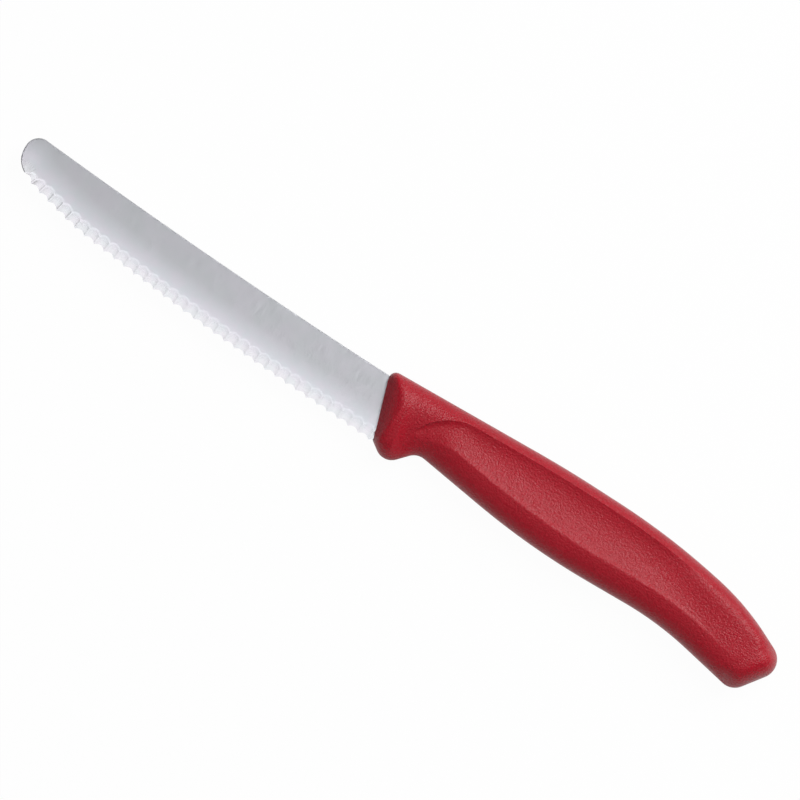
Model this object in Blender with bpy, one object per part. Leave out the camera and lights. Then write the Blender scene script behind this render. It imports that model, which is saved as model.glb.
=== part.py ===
# Serrated paring knife: a stamped steel blade whose hidden tang is moulded into a plastic handle.
# The knife is drawn with x from the blade's tip to the handle's butt, y towards the spine,
# and z across its thickness, then laid on its side with the origin under its middle.

import math

import bmesh
import bpy
import numpy as np
from mathutils import Vector

# Driving dimensions, in metres and degrees.
CLEARANCE = 0.0003            # gap kept between the steel and the plastic
CHORD_ERROR = 0.00002         # how far a chord may stand off its arc

BLADE_LENGTH = 0.1088         # tip to handle, along the axis
BLADE_THICKNESS = 0.0013      # at the heel and along the tang
TIP_THICKNESS = 0.0010        # flat of the blade at the tip
EDGE_THICKNESS = 0.00045      # along the line of tooth tips
GRIND_WIDTH = 0.0084          # ground band above the edge, at full thickness
GRIND_MARGIN = 0.0020         # how far the grinding forms reach past their band
GRIND_RUN_OUT = 0.0042        # how far the grind runs on past the nose and into the heel
SPINE_AT_TIP = 0.0071         # height of the spine over the axis
SPINE_AT_BEND = 0.0054
SPINE_AT_HEEL = 0.0068
SPINE_RADIUS = 1.83           # the spine is slightly hollow
NOSE_RADIUS = 0.0036
EDGE_DROP = 0.0096            # tooth tips below the axis, at the belly of the edge
EDGE_AT_HEEL = 0.00935
TAPER_START = 0.0030          # full thickness runs this far in front of the handle

TOOTH_PITCH = 0.00309
TOOTH_DEPTH = 0.00078
TOOTH_BEVEL = 14.0            # slope of the hollow ground waves against the blade's face
TOOTH_CUTS = 6                # chords across one wave
TOOTH_REACH = 0.0072          # how far the waves' form reaches outside the edge
FIRST_TOOTH = 0.0004          # along the edge, past the round of the nose

HEEL_DEPTH = 0.0024           # how far the heel runs into the handle
HEEL_BOTTOM = 0.0074          # lowest point of the heel inside the handle
HEEL_TRIM = 0.0004            # the trimmed corner starts this far in front of the handle
TANG_LENGTH = 0.0750
TANG_TOP_AT_END = 0.0054
TANG_BOTTOM_AT_ROOT = 0.0008
TANG_BOTTOM_AT_END = 0.0002
TANG_ROOT_RADIUS = 0.0020
TANG_END_RADIUS = 0.0028
LOCK_HOLE_RADIUS = 0.0022
LOCK_HOLE_HEIGHT = 0.0023
LOCK_HOLES = (0.0220, 0.0440, 0.0640)   # along the tang, from the front of the handle

HANDLE_LENGTH = 0.1181        # front line to butt line, along the axis
FRONT_SLANT = 20.5            # lean of the handle's front line
BUTT_SLANT = 33.5             # lean of the handle's butt line
BACK_AT_FRONT = 0.0084
LIP_THICKNESS = 0.0032        # plastic round the blade at the front line
COLLAR_CROWN = 0.0066         # half width that the rounded flanks aim for
PALM_CROWN = 0.0068
BUTT_CROWN = 0.0066
PALM_AT = 0.45                # share of the handle's length where the palm is reached
PALM_END = 0.60               # share of the handle's length where the palm is left
CHAMFER_LENGTH = 0.0062       # from the lip up to the full collar
CHAMFER_FULLNESS = 2.2        # 1 is straight, more rounds its upper end
BUTT_ROUND = 0.0050
# Depths of the rounding at the collar, behind it, and at the butt.
BACK_ROUNDS = (0.0105, 0.0074, 0.0030)
BELLY_ROUNDS = (0.0155, 0.0126, 0.0085)
BACK_FULLNESS = 2.6           # 2 is an ellipse, more stands fuller
BELLY_FULLNESS = (2.4, 1.35)    # behind the collar and at it
COLLAR_END = 0.26             # share of the handle's length where the collar's rounding ends
BUTT_FROM = 0.66              # share of the handle's length where the butt's rounding begins
BEYOND_BUTT = 0.030           # how far back and belly lines are carried on past the butt
LIP_ROUND = 0.0008
COLLAR_REACH = 0.0080         # the lip's square section turns round over this length
GUARD_DROP = 0.0122
GUARD_RADIUS = 0.0040
NOTCH_RADIUS = 0.0040

CREASE_DROP = 0.0023          # upper edge of the hollow panel, below the back
RIDGE_RISE = 0.0063           # lower edge of the hollow panel, above the belly
PANEL_START = 0.0094          # foremost point of the panel, behind the front
RIDGE_AT_START = 0.45         # share of that rise at the foremost point of the panel
RIDGE_RUN = 0.0130            # length in which the lower edge climbs to its full rise
PANEL_SLOPE = 0.14            # depth measure of the panel, as a share of its reach
PANEL_LEAST_REACH = 0.0120    # keeps the panel deep where it is narrow, at its front
PANEL_SKEW = 2.0              # 1 puts the deepest line in the middle, more nearer the upper edge
PANEL_ARC_RADIUS = 0.0130
CREASE_FADE_IN = 0.0030
RIDGE_FADE_IN = 0.0200
CREASE_FADE_OUT = (0.0750, 0.0990)
RIDGE_FADE_OUT = (0.0870, 0.1120)

# Outlines of the handle: share of its length behind the front, height over the axis, radius.
BACK_LINE = (
    (0.398, 0.0124, 0.290),
    (0.648, 0.01315, 0.180),
    (0.865, 0.0098, 0.067),
)
BELLY_LINE = (
    (0.425, -0.0089, 0.196),
    (0.736, -0.0063, 0.084),
)
GUARD_AT = 0.0084             # guard's lowest corner, behind the front
NOTCH_AT = 0.0142             # finger notch, behind the front
NOTCH_DROP = 0.0053
FRONT_DROP = 0.0090           # lower end of the front line
FRONT_RADII = (0.0019, 0.0015)
BUTT_TOP = 0.0023
BUTT_BOTTOM = -0.0101
BUTT_RADII = (0.0048, 0.0045)

# Edge line of the blade: share of its length from the tip, share of the edge's drop, radius.
EDGE_LINE = (
    (0.000, 0.085, 0.0060),
    (0.059, 0.446, 0.015),
    (0.199, 0.754, 0.060),
    (0.578, 1.000, 0.700),
)
SPINE_BEND_AT = 0.524         # share of the blade's length

# Grid of the handle's surface.
FRONT_STATIONS = 20
BODY_STATIONS = 26
BUTT_STATIONS = 13
FRONT_ZONE = 0.16             # share of the outline's length
BUTT_ZONE = 0.88
STATION_CROWDING = 1.6        # cross sections crowd towards both ends by this power
BACK_ROWS = 8                 # from the back to the crease
PANEL_ROWS = 7
BELLY_ROWS = 10               # from the ridge to the belly
LEAST_CREASE = 0.06           # least share of a cross section above the crease
LEAST_RIDGE = 0.36            # least share of a cross section above the ridge
LEAST_PANEL = 0.12            # least share of a cross section between crease and ridge
SEARCH_STEPS = 400            # steps in which a cross section is searched for an edge
HARD_CREASE = 0.3             # share of the panel's depth from which its edges are sharp

STEEL_COLOUR = (0.62, 0.62, 0.65, 1.0)
HANDLE_COLOUR = (0.46, 0.012, 0.024, 1.0)


def clear_scene():
    for obj in list(bpy.data.objects):
        bpy.data.objects.remove(obj, do_unlink=True)


def front_x(y, behind=0.0):
    """Place along x of the handle's slanted front line, or of a line a given depth behind it."""
    return BLADE_LENGTH + behind - y * math.tan(math.radians(FRONT_SLANT))


def butt_x(y):
    """Place along x of the handle's slanted butt line."""
    return BLADE_LENGTH + HANDLE_LENGTH + y * math.tan(math.radians(BUTT_SLANT))


def rounded(corners, grow=0.0):
    """Round a counter-clockwise polygon of (x, y, radius) and offset it outwards by grow.

    The result has one list of points for each corner."""
    count = len(corners)
    points = [Vector(corner[:2]) for corner in corners]
    ways = [(points[(i + 1) % count] - points[i]).normalized() for i in range(count)]
    turns = [ways[i - 1].cross(ways[i]) for i in range(count)]
    bends = [math.acos(max(-1.0, min(1.0, ways[i - 1].dot(ways[i])))) for i in range(count)]
    moved = []
    for i in range(count):
        outwards = Vector((ways[i - 1].y + ways[i].y, -ways[i - 1].x - ways[i].x))
        moved.append(points[i] + outwards * grow / (1.0 + ways[i - 1].dot(ways[i])))
    signs = [1.0 if turn > 0 else -1.0 for turn in turns]
    radii = [max(corner[2] + sign * grow, 0.0) for corner, sign in zip(corners, signs)]
    reach = [radius * math.tan(bend / 2) for radius, bend in zip(radii, bends)]
    limits = [1.0] * count
    for i in range(count):
        after = (i + 1) % count
        room = (moved[after] - moved[i]).length / max(reach[i] + reach[after], 1e-9)
        limits[i] = min(limits[i], room)
        limits[after] = min(limits[after], room)
    arcs = []
    for i in range(count):
        radius = radii[i] * limits[i]
        if radius < CHORD_ERROR:
            arcs.append([moved[i]])
            continue
        start = moved[i] - ways[i - 1] * reach[i] * limits[i]
        inwards = Vector((-ways[i - 1].y, ways[i - 1].x)) * signs[i]
        centre = start + inwards * radius
        chords = math.ceil(bends[i] / (2 * math.acos(1 - CHORD_ERROR / radius)))
        arm = start - centre
        arc = []
        for step in range(chords + 1):
            angle = signs[i] * bends[i] * step / chords
            turned = Vector((
                arm.x * math.cos(angle) - arm.y * math.sin(angle),
                arm.x * math.sin(angle) + arm.y * math.cos(angle),
            ))
            arc.append(centre + turned)
        arcs.append(arc)
    return arcs


def joined(arcs):
    """All the points of the arcs in a row, each place once."""
    points = []
    for point in [point for arc in arcs for point in arc]:
        if not points or (point - points[-1]).length > CHORD_ERROR:
            points.append(point)
    return points


def smooth(amount):
    amount = np.clip(amount, 0.0, 1.0)
    return amount * amount * (3 - 2 * amount)


def between(ends, share):
    return ends[0] + (ends[1] - ends[0]) * share


def rise(amount, fullness=2.0):
    """Rise from 0 to 1 like the quarter of an ellipse, or fuller with more fullness."""
    amount = np.clip(amount, 0.0, 1.0)
    return (1 - (1 - amount) ** fullness) ** (1 / fullness)


def prism(name, outline, half):
    """Stand a plan outline up between -half and +half."""
    mesh = bpy.data.meshes.new(name)
    shape = bmesh.new()
    face = shape.faces.new([shape.verts.new((x, y, -half)) for x, y in outline])
    grown = bmesh.ops.extrude_face_region(shape, geom=[face])
    raised = [item for item in grown["geom"] if isinstance(item, bmesh.types.BMVert)]
    bmesh.ops.translate(shape, verts=raised, vec=(0, 0, 2 * half))
    bmesh.ops.recalc_face_normals(shape, faces=shape.faces)
    shape.to_mesh(mesh)
    shape.free()
    obj = bpy.data.objects.new(name, mesh)
    bpy.context.collection.objects.link(obj)
    return obj


def as_cutter(obj):
    obj.hide_render = True
    obj.display_type = "WIRE"
    return obj


def cut(target, cutter):
    target.modifiers.new(f"{cutter.name}_flat", "TRIANGULATE")
    modifier = target.modifiers.new(cutter.name, "BOOLEAN")
    modifier.operation = "DIFFERENCE"
    modifier.solver = "EXACT"
    modifier.object = as_cutter(cutter)


def material(name, colour, metallic, roughness):
    result = bpy.data.materials.new(name)
    result.use_nodes = True
    shader = result.node_tree.nodes["Principled BSDF"]
    shader.inputs["Base Color"].default_value = colour
    shader.inputs["Metallic"].default_value = metallic
    shader.inputs["Roughness"].default_value = roughness
    return result


def blade_corners():
    """Blade and tang in one outline, from the nose along the edge, the tang and the spine."""
    edge = [(share * BLADE_LENGTH, -drop * EDGE_DROP, radius) for share, drop, radius in EDGE_LINE]
    tang_end = BLADE_LENGTH + TANG_LENGTH
    return edge + [
        (front_x(-EDGE_AT_HEEL) - HEEL_TRIM, -EDGE_AT_HEEL, 0.0),
        (front_x(-HEEL_BOTTOM, HEEL_DEPTH), -HEEL_BOTTOM, 0.0),
        (front_x(-TANG_BOTTOM_AT_ROOT, HEEL_DEPTH), -TANG_BOTTOM_AT_ROOT, TANG_ROOT_RADIUS),
        (tang_end, -TANG_BOTTOM_AT_END, TANG_END_RADIUS),
        (tang_end, TANG_TOP_AT_END, TANG_END_RADIUS),
        (front_x(SPINE_AT_HEEL, HEEL_DEPTH), SPINE_AT_HEEL, 0.0),
        (SPINE_BEND_AT * BLADE_LENGTH, SPINE_AT_BEND, SPINE_RADIUS),
        (0.0, SPINE_AT_TIP, NOSE_RADIUS),
    ]


def blank(name, grow=0.0):
    """The stamped sheet with its lock holes. Grown by the clearance it is the handle's slot."""
    outline = joined(rounded(blade_corners(), grow))
    sheet = prism(name, outline, BLADE_THICKNESS / 2 + grow)
    radius = LOCK_HOLE_RADIUS - grow
    for number, place in enumerate(LOCK_HOLES, 1):
        x = BLADE_LENGTH + place
        ring = [
            (x - radius, LOCK_HOLE_HEIGHT - radius, radius),
            (x + radius, LOCK_HOLE_HEIGHT - radius, radius),
            (x + radius, LOCK_HOLE_HEIGHT + radius, radius),
            (x - radius, LOCK_HOLE_HEIGHT + radius, radius),
        ]
        circle = [arc[:-1] for arc in rounded(ring)]
        cut(sheet, prism(f"{name}_hole_{number}", joined(circle), BLADE_THICKNESS))
    return sheet


def tooth_tip_line():
    """Points along the edge, from the end of the nose's round to the handle."""
    arcs = rounded(blade_corners())
    edge = joined(arcs[:len(EDGE_LINE) + 1])
    return edge[len(arcs[0]) - 1:]


def walk(path, distances):
    """Points at the given distances along a path of straight steps."""
    path = np.array([tuple(point) for point in path])
    steps = np.hypot(*np.diff(path, axis=0).T)
    along = np.concatenate(([0.0], np.cumsum(steps)))
    distances = np.asarray(distances)
    return np.stack([np.interp(distances, along, path[:, axis]) for axis in (0, 1)], axis=1)


def path_length(path):
    return sum((after - before).length for before, after in zip(path, path[1:]))


def thin_to_tip(blade):
    """Thin the flat of the blade evenly, from a line in front of the handle to the tip."""
    lean = math.radians(FRONT_SLANT)
    backwards = Vector((math.cos(lean), math.sin(lean), 0.0))
    start = Vector((front_x(0.0, -TAPER_START), 0.0, 0.0))
    reach = start.dot(backwards)
    shape = bmesh.new()
    shape.from_mesh(blade.data)
    whole = list(shape.verts) + list(shape.edges) + list(shape.faces)
    bmesh.ops.bisect_plane(shape, geom=whole, plane_co=start, plane_no=backwards)
    for vertex in shape.verts:
        share = max((start - vertex.co).dot(backwards) / reach, 0.0)
        vertex.co.z *= 1 - share * (1 - TIP_THICKNESS / BLADE_THICKNESS)
    shape.to_mesh(blade.data)
    shape.free()


def grind_slope():
    return (BLADE_THICKNESS - EDGE_THICKNESS) / 2 / GRIND_WIDTH


def inward_ways(line, places):
    """Directions into the blade, square to its edge, at distances along the edge."""
    ways = walk(line, places + TOOTH_PITCH / 2) - walk(line, places - TOOTH_PITCH / 2)
    ways /= np.hypot(*ways.T)[:, None]
    return np.stack([-ways[:, 1], ways[:, 0]], axis=1)


def swept(name, line, places, rings):
    """A solid swept along the edge. Each ring lists (reach into the blade, z) for one place."""
    shape = bmesh.new()
    sections = []
    for centre, inward, ring in zip(walk(line, places), inward_ways(line, places), rings):
        section = []
        for reach, z in ring:
            x, y = centre + inward * reach
            section.append(shape.verts.new((x, y, z)))
        sections.append(section)
    for before, after in zip(sections, sections[1:]):
        for k in range(len(before)):
            shape.faces.new((before[k - 1], before[k], after[k], after[k - 1]))
    shape.faces.new(sections[0])
    shape.faces.new(sections[-1])
    bmesh.ops.recalc_face_normals(shape, faces=shape.faces)
    mesh = bpy.data.meshes.new(name)
    shape.to_mesh(mesh)
    shape.free()
    obj = bpy.data.objects.new(name, mesh)
    bpy.context.collection.objects.link(obj)
    return obj


def grind(name, side):
    """The wheel that thins one face evenly towards the edge, from the nose to the heel."""
    line = tooth_tip_line()
    first = line[0] - (line[1] - line[0]).normalized() * GRIND_RUN_OUT
    last = line[-1] + (line[-1] - line[-2]).normalized() * GRIND_RUN_OUT
    line = [first] + line + [last]
    # The sections fall between the corners of the waves, so that no two edges run together.
    places = np.arange(TOOTH_PITCH / TOOTH_CUTS / 2, path_length(line), TOOTH_PITCH)
    outer = -GRIND_MARGIN
    inner = GRIND_WIDTH + GRIND_MARGIN
    ring = [
        (outer, side * (EDGE_THICKNESS / 2 + grind_slope() * outer)),
        (inner, side * (EDGE_THICKNESS / 2 + grind_slope() * inner)),
        (inner, side * 2 * BLADE_THICKNESS),
        (outer, side * 2 * BLADE_THICKNESS),
    ]
    return swept(name, line, places, [ring] * len(places))


def waves(name):
    """One wheel form for all the teeth: tilted hollows side by side along the edge, from one face."""
    line = tooth_tip_line()
    teeth = math.floor((path_length(line) - FIRST_TOOTH) / TOOTH_PITCH)
    steps = np.arange(teeth * TOOTH_CUTS + 1)
    places = FIRST_TOOTH + steps * TOOTH_PITCH / TOOTH_CUTS
    tilt = 1 / math.tan(math.radians(TOOTH_BEVEL))
    across = (steps % TOOTH_CUTS) / TOOTH_CUTS
    hollows = TOOTH_DEPTH * (1 + grind_slope() * tilt) * (1 - (2 * across - 1) ** 2)
    low = -EDGE_THICKNESS
    high = BLADE_THICKNESS
    rings = []
    for hollow in hollows:
        base = hollow + (low + EDGE_THICKNESS / 2) * tilt
        top = hollow + (high + EDGE_THICKNESS / 2) * tilt
        rings.append([(base, low), (top, high), (-TOOTH_REACH, high), (-TOOTH_REACH, low)])
    return swept(name, line, places, rings)


def make_blade():
    """The sheet, thinned to the tip, ground towards the edge and cut into teeth."""
    blade = blank("blade")
    thin_to_tip(blade)
    cut(blade, grind("grind_left", 1))
    cut(blade, grind("grind_right", -1))
    cut(blade, waves("waves"))
    blade.data.materials.append(material("steel", STEEL_COLOUR, 1.0, 0.32))
    return blade


def guard_corners():
    """Side outline of the handle from the front line round the guard."""
    return [
        (front_x(-FRONT_DROP), -FRONT_DROP, FRONT_RADII[1]),
        (BLADE_LENGTH + GUARD_AT, -GUARD_DROP, GUARD_RADIUS),
    ]


def lower_corners():
    """Side outline of the handle from the front line round the guard and along the belly."""
    belly = [(BLADE_LENGTH + share * HANDLE_LENGTH, y, radius) for share, y, radius in BELLY_LINE]
    return [
        *guard_corners(),
        (BLADE_LENGTH + NOTCH_AT, -NOTCH_DROP, NOTCH_RADIUS),
        *belly,
        (butt_x(BUTT_BOTTOM), BUTT_BOTTOM, BUTT_RADII[1]),
    ]


def upper_corners():
    """Side outline of the handle from the butt line along the back to the front line."""
    back = [(BLADE_LENGTH + share * HANDLE_LENGTH, y, radius) for share, y, radius in BACK_LINE]
    return [
        (butt_x(BUTT_TOP), BUTT_TOP, BUTT_RADII[0]),
        *reversed(back),
        (front_x(BACK_AT_FRONT), BACK_AT_FRONT, FRONT_RADII[0]),
    ]


def extended(path, corner):
    """A path carried straight on past the corner that ends it."""
    ahead = (corner[0] - path[-1]).normalized()
    return path + [corner[0], corner[0] + ahead * BEYOND_BUTT]


class HandleForm:
    """Half width of the handle over its side outline."""

    def __init__(self):
        lower = lower_corners()
        arcs = rounded(lower + upper_corners())
        self.belly = joined(arcs[:len(lower)])
        self.back = joined(arcs[len(lower):])[::-1]
        self.butt = joined([arcs[len(lower) - 1], arcs[len(lower)]])
        self.long_belly = extended(joined(arcs[:len(lower) - 1]), arcs[len(lower) - 1])
        self.long_back = extended(joined(arcs[len(lower) + 1:])[::-1], arcs[len(lower)][::-1])
        from_notch = arcs[len(guard_corners()):len(lower)]
        after_notch = joined(from_notch)[len(from_notch[0]) - 1:]
        self.belly_line = np.array([tuple(point) for point in after_notch])
        self.back_line = np.array([tuple(point) for point in self.back])
        self.front_lean = math.radians(FRONT_SLANT)

    def crease(self, x):
        """Upper edge of the hollow panel: along the back, turning down to the front in an arc."""
        below_back = np.interp(x, *self.back_line.T) - CREASE_DROP
        arc = rise((x - BLADE_LENGTH - PANEL_START) / PANEL_ARC_RADIUS) - 1
        return below_back + PANEL_ARC_RADIUS * arc

    def ridge(self, x):
        """Lower edge of the hollow panel, along the belly and lower at the front."""
        begun = smooth((x - BLADE_LENGTH - PANEL_START) / RIDGE_RUN)
        rise_here = RIDGE_RISE * (RIDGE_AT_START + (1 - RIDGE_AT_START) * begun)
        return np.interp(x, *self.belly_line.T) + rise_here

    def plain(self, x, y):
        """The rounded body without its panel."""
        behind = (x - front_x(y)) * math.cos(self.front_lean)
        along = (x - BLADE_LENGTH) / HANDLE_LENGTH
        crown = COLLAR_CROWN + (PALM_CROWN - COLLAR_CROWN) * smooth(along / PALM_AT)
        crown = crown + (BUTT_CROWN - PALM_CROWN) * smooth((along - PALM_END) / (1 - PALM_END))
        opening = smooth(behind / COLLAR_REACH)
        to_butt = smooth((along - BUTT_FROM) / (1 - BUTT_FROM))
        collar_left = 1 - smooth(along / COLLAR_END)
        back_round = between(BACK_ROUNDS[1:], to_butt) + (BACK_ROUNDS[0] - BACK_ROUNDS[1]) * collar_left
        belly_round = between(BELLY_ROUNDS[1:], to_butt) + (BELLY_ROUNDS[0] - BELLY_ROUNDS[1]) * collar_left
        back_reach = between((LIP_ROUND, back_round), opening)
        belly_reach = between((LIP_ROUND, belly_round), opening)
        back = rise(distance(self.long_back, x, y) / back_reach, BACK_FULLNESS)
        fullness = between(BELLY_FULLNESS, collar_left)
        belly = rise(distance(self.long_belly, x, y) / belly_reach, fullness)
        butt = rise(distance(self.butt, x, y) / BUTT_ROUND)
        lip = LIP_THICKNESS / 2 / COLLAR_CROWN
        left = 1 - np.clip(behind / CHAMFER_LENGTH, 0.0, 1.0)
        chamfer = lip + (1 - lip) * (1 - left ** CHAMFER_FULLNESS)
        return crown * back * belly * chamfer * butt

    def fades(self, x):
        """Shares of the hollow panel's full depth at its upper and its lower edge."""
        into = x - BLADE_LENGTH
        ways = ((CREASE_FADE_IN, CREASE_FADE_OUT), (RIDGE_FADE_IN, RIDGE_FADE_OUT))
        return [
            smooth((into - PANEL_START) / fade_in) * (1 - smooth((into - end) / (gone - end)))
            for fade_in, (end, gone) in ways
        ]

    def half_width(self, x, y):
        upper = self.crease(x)
        lower = self.ridge(x)
        height = np.maximum(upper - lower, CHORD_ERROR)
        share = np.clip((upper - y) / height, 0.0, 1.0)
        inside = (upper > lower) & (x > BLADE_LENGTH + PANEL_START)
        flat = self.plain(x, upper) * (1 - share) + self.plain(x, lower) * share
        depth = PANEL_SLOPE * np.hypot(height, PANEL_LEAST_REACH)
        panel = flat - depth * (1 - share) * (1 - (1 - share) ** PANEL_SKEW)
        body = self.plain(x, y)
        hollow = np.where(inside & (y < upper) & (y > lower), body - panel, 0.0)
        return body - np.maximum(hollow, 0.0) * between(self.fades(x), share)


def distance(path, x, y):
    """Distance of points to a path of straight steps."""
    points = np.stack([np.ravel(x), np.ravel(y)], axis=1)
    path = np.array([tuple(point) for point in path])
    starts = path[:-1]
    steps = np.diff(path, axis=0)
    gaps = points[:, None, :] - starts[None, :, :]
    shares = np.clip((gaps * steps).sum(axis=2) / (steps ** 2).sum(axis=1), 0.0, 1.0)
    nearest = gaps - shares[:, :, None] * steps
    return np.sqrt((nearest ** 2).sum(axis=2).min(axis=1)).reshape(np.shape(x))


def station_shares():
    """Places of the cross sections along the outline, closer together at both ends."""
    front = FRONT_ZONE * (np.arange(FRONT_STATIONS) / FRONT_STATIONS) ** STATION_CROWDING
    body = np.linspace(FRONT_ZONE, BUTT_ZONE, BODY_STATIONS, endpoint=False)
    left = np.arange(BUTT_STATIONS, -1, -1) / BUTT_STATIONS
    butt = 1 - (1 - BUTT_ZONE) * left ** STATION_CROWDING
    return np.concatenate((front, body, butt))


def section_points(form):
    """Plan points of each cross section, back to belly, with one row along each panel edge."""
    along = station_shares()
    tops = walk(form.back, along * path_length(form.back))
    bottoms = walk(form.belly, along * path_length(form.belly))
    shares = np.linspace(0.0, 1.0, SEARCH_STEPS + 1)
    near_back = 1 - np.cos(np.pi / 2 * np.arange(BACK_ROWS) / BACK_ROWS)
    near_belly = np.sin(np.pi / 2 * np.arange(BELLY_ROWS + 1) / BELLY_ROWS)
    sections = []
    for top, bottom in zip(tops, bottoms):
        x, y = (top + (bottom - top) * shares[:, None]).T
        ridge = max(np.interp(0.0, form.ridge(x) - y, shares), LEAST_RIDGE)
        crease = np.clip(np.interp(0.0, form.crease(x) - y, shares), LEAST_CREASE, ridge - LEAST_PANEL)
        rows = np.concatenate((
            crease * near_back,
            np.linspace(crease, ridge, PANEL_ROWS, endpoint=False),
            ridge + (1 - ridge) * near_belly,
        ))
        sections.append(top + (bottom - top) * rows[:, None])
    return np.array(sections)


def make_handle():
    """The moulded body: two like halves over one outline, with a slot for heel and tang."""
    form = HandleForm()
    plan = section_points(form)
    width = form.half_width(plan[:, :, 0], plan[:, :, 1])
    stations = len(plan)
    rows = BACK_ROWS + PANEL_ROWS + BELLY_ROWS
    shape = bmesh.new()
    grid = {}
    for i in range(stations):
        for j in range(rows + 1):
            on_outline = j in (0, rows) or i == stations - 1
            x, y = plan[i, j]
            z = 0.0 if on_outline else width[i, j]
            grid[i, j, 1] = shape.verts.new((x, y, z))
            grid[i, j, -1] = grid[i, j, 1] if on_outline else shape.verts.new((x, y, -z))
    for side in (1, -1):
        for i in range(stations - 1):
            for j in range(rows):
                ring = (
                    grid[i, j, side],
                    grid[i, j + 1, side],
                    grid[i + 1, j + 1, side],
                    grid[i + 1, j, side],
                )
                if i < stations - 2 or 0 < j < rows - 1:
                    shape.faces.new(ring)
                    continue
                # Three corners lie in the middle plane here, so the face is split from the fourth.
                top = 0 if j else 1
                shape.faces.new((ring[top], ring[top + 1], ring[top + 2]))
                shape.faces.new((ring[top], ring[top + 2], ring[top - 1]))
    for j, fade in zip((BACK_ROWS, BACK_ROWS + PANEL_ROWS), form.fades(plan[:, BACK_ROWS, 0])):
        for i in range(stations - 2):
            for side in (1, -1):
                edge = shape.edges.get((grid[i, j, side], grid[i + 1, j, side]))
                edge.smooth = bool(fade[i] < HARD_CREASE)
    for j in range(rows):
        rim = (grid[0, j, 1], grid[0, j + 1, 1], grid[0, j + 1, -1], grid[0, j, -1])
        shape.faces.new(list(dict.fromkeys(rim)))
    for face in shape.faces:
        face.smooth = True
    bmesh.ops.recalc_face_normals(shape, faces=shape.faces)
    mesh = bpy.data.meshes.new("handle")
    shape.to_mesh(mesh)
    shape.free()
    handle = bpy.data.objects.new("handle", mesh)
    bpy.context.collection.objects.link(handle)
    cut(handle, blank("slot", CLEARANCE))
    handle.data.materials.append(material("handle_plastic", HANDLE_COLOUR, 0.0, 0.5))
    return handle


def lay_down(blade, handle):
    """Hang everything on one empty, with the origin under the middle of the lying knife."""
    corners = [vertex.co for obj in (blade, handle) for vertex in obj.data.vertices]
    low = Vector([min(co[axis] for co in corners) for axis in range(3)])
    high = Vector([max(co[axis] for co in corners) for axis in range(3)])
    knife = bpy.data.objects.new("knife", None)
    bpy.context.collection.objects.link(knife)
    for obj in list(bpy.data.objects):
        if obj is not knife:
            obj.parent = knife
    knife.location = (-(low.x + high.x) / 2, -(low.y + high.y) / 2, -low.z)


clear_scene()
lay_down(make_blade(), make_handle())
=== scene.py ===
# Looks of the serrated paring knife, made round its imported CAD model.
# Both pieces are drawn as in the CAD source: x from the blade's tip to the handle's butt,
# y towards the spine, z across the thickness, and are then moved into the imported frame.

import math

import bmesh
import bpy
import numpy as np
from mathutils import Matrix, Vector


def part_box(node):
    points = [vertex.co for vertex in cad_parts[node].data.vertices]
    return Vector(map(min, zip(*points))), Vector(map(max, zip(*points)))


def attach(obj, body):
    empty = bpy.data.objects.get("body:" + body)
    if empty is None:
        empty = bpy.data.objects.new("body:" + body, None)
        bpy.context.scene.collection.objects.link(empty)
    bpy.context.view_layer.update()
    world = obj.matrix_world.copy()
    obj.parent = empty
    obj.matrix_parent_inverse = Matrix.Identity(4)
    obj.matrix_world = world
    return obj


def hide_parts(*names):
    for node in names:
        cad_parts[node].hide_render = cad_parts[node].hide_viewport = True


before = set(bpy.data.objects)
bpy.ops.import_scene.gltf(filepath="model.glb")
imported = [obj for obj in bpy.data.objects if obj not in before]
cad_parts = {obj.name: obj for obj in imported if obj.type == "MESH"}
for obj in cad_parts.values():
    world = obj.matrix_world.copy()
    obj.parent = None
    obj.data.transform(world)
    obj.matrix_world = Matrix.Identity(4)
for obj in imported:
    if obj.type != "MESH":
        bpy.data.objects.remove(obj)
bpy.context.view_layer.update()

# Driving dimensions, in metres and degrees, as in the CAD source where nothing else is said.
CHORD_ERROR = 0.000004        # finer than in the CAD source
BLADE_LENGTH = 0.1088
BLADE_THICKNESS = 0.0013
TIP_THICKNESS = 0.0010
EDGE_THICKNESS = 0.00045
GRIND_WIDTH = 0.0096          # convex here, so wider than the CAD source's flat grind
SPINE_AT_TIP = 0.0071
SPINE_AT_BEND = 0.0054
SPINE_AT_HEEL = 0.0068
SPINE_RADIUS = 1.83
NOSE_RADIUS = 0.0036
EDGE_DROP = 0.0096
EDGE_AT_HEEL = 0.00935
SPINE_BEND_AT = 0.524
EDGE_LINE = (
    (0.000, 0.085, 0.0060),
    (0.059, 0.446, 0.015),
    (0.199, 0.754, 0.060),
    (0.578, 1.000, 0.700),
)
TOOTH_PITCH = 0.00309
TOOTH_DEPTH = 0.00078
TOOTH_BEVEL = 14.0
FIRST_TOOTH = 0.0004
HEEL_DEPTH = 0.0024
HEEL_BOTTOM = 0.0074
HEEL_TRIM = 0.0004
TANG_LENGTH = 0.0750
TANG_TOP_AT_END = 0.0054
TANG_BOTTOM_AT_ROOT = 0.0008
TANG_BOTTOM_AT_END = 0.0002
TANG_ROOT_RADIUS = 0.0020
TANG_END_RADIUS = 0.0028

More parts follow.
